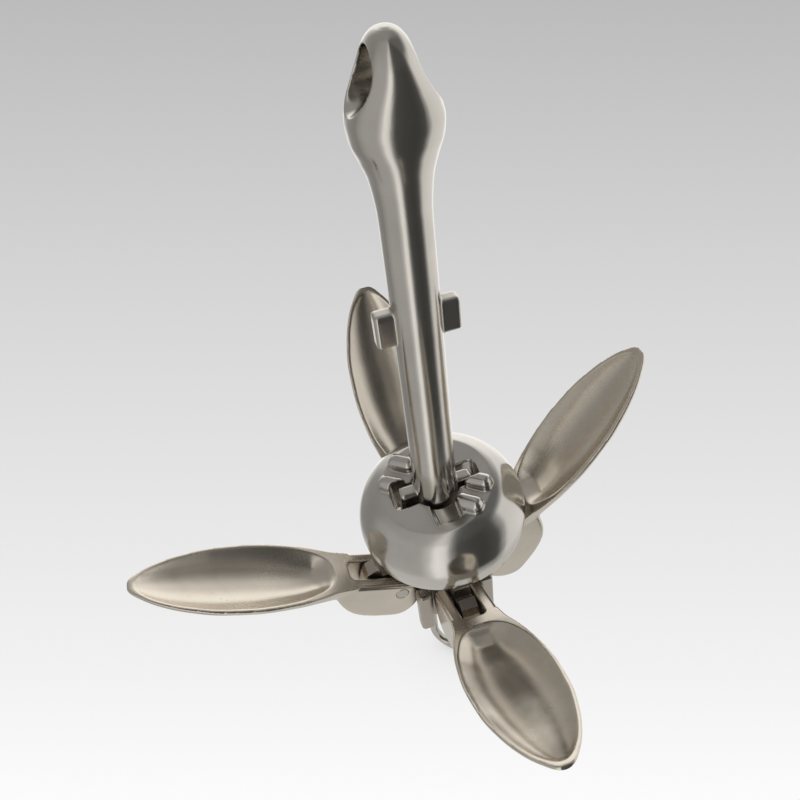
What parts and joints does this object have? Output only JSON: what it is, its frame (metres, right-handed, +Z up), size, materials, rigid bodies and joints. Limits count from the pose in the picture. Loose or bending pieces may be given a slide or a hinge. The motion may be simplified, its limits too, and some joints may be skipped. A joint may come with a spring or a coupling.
{
  "type": "folding grapnel anchor",
  "caption": "Folding grapnel boat anchor: round shank with a shackle eye, sliding locking collar and hinged spoon-shaped flukes that fold up along the shank.",
  "frame": {"origin": "centre of the shackle eye in the shank head", "axes": "+Z up along the shank from the crown to the head, +X along the shackle eye's hole axis, which also passes through one pair of flukes"},
  "size_m": [0.3034, 0.3034, 0.4248],
  "materials": {
    "polished_shank": "mirror-polished stainless steel",
    "polished_collar": "mirror-polished stainless steel casting",
    "cast_crown": "tumbled stainless steel casting",
    "satin_fluke": "polished stainless steel casting with fine scratches",
    "pin_steel": "plain turned stainless steel pin with domed ends"
  },
  "bodies": {
    "anchor_body": {"shank": "polished_shank", "crown": "cast_crown", "trip_eye": "polished_shank", "pin_front": "pin_steel", "pin_right": "pin_steel", "pin_back": "pin_steel", "pin_left": "pin_steel"},
    "collar": {"collar": "polished_collar"},
    "fluke_front": {"fluke_front": "satin_fluke"},
    "fluke_right": {"fluke_right": "satin_fluke"},
    "fluke_back": {"fluke_back": "satin_fluke"},
    "fluke_left": {"fluke_left": "satin_fluke"}
  },
  "joints": [
    {"name": "collar_slide", "type": "slide", "parent": "anchor_body", "child": "collar", "axis": [0, 0, 1], "range_m": [0, 0.165]},
    {"name": "fluke_front_fold", "type": "hinge", "parent": "anchor_body", "child": "fluke_front", "pos_m": [0, -0.0315, -0.3073], "axis": [-1, 0, 0], "range_deg": [0, 62]},
    {"name": "fluke_right_fold", "type": "hinge", "parent": "anchor_body", "child": "fluke_right", "pos_m": [0.0315, 0, -0.3073], "axis": [0, -1, 0], "range_deg": [0, 34.7]},
    {"name": "fluke_back_fold", "type": "hinge", "parent": "anchor_body", "child": "fluke_back", "pos_m": [0, 0.0315, -0.3073], "axis": [1, 0, 0], "range_deg": [0, 36.1]},
    {"name": "fluke_left_fold", "type": "hinge", "parent": "anchor_body", "child": "fluke_left", "pos_m": [-0.0315, 0, -0.3073], "axis": [0, 1, 0], "range_deg": [0, 64.6]}
  ],
  "couplings": [
    {"joint": "fluke_front_fold", "follows": "collar_slide", "rad_per_m": 6.5582},
    {"joint": "fluke_right_fold", "follows": "collar_slide", "rad_per_m": 3.6705},
    {"joint": "fluke_back_fold", "follows": "collar_slide", "rad_per_m": 3.8186},
    {"joint": "fluke_left_fold", "follows": "collar_slide", "rad_per_m": 6.8332}
  ]
}
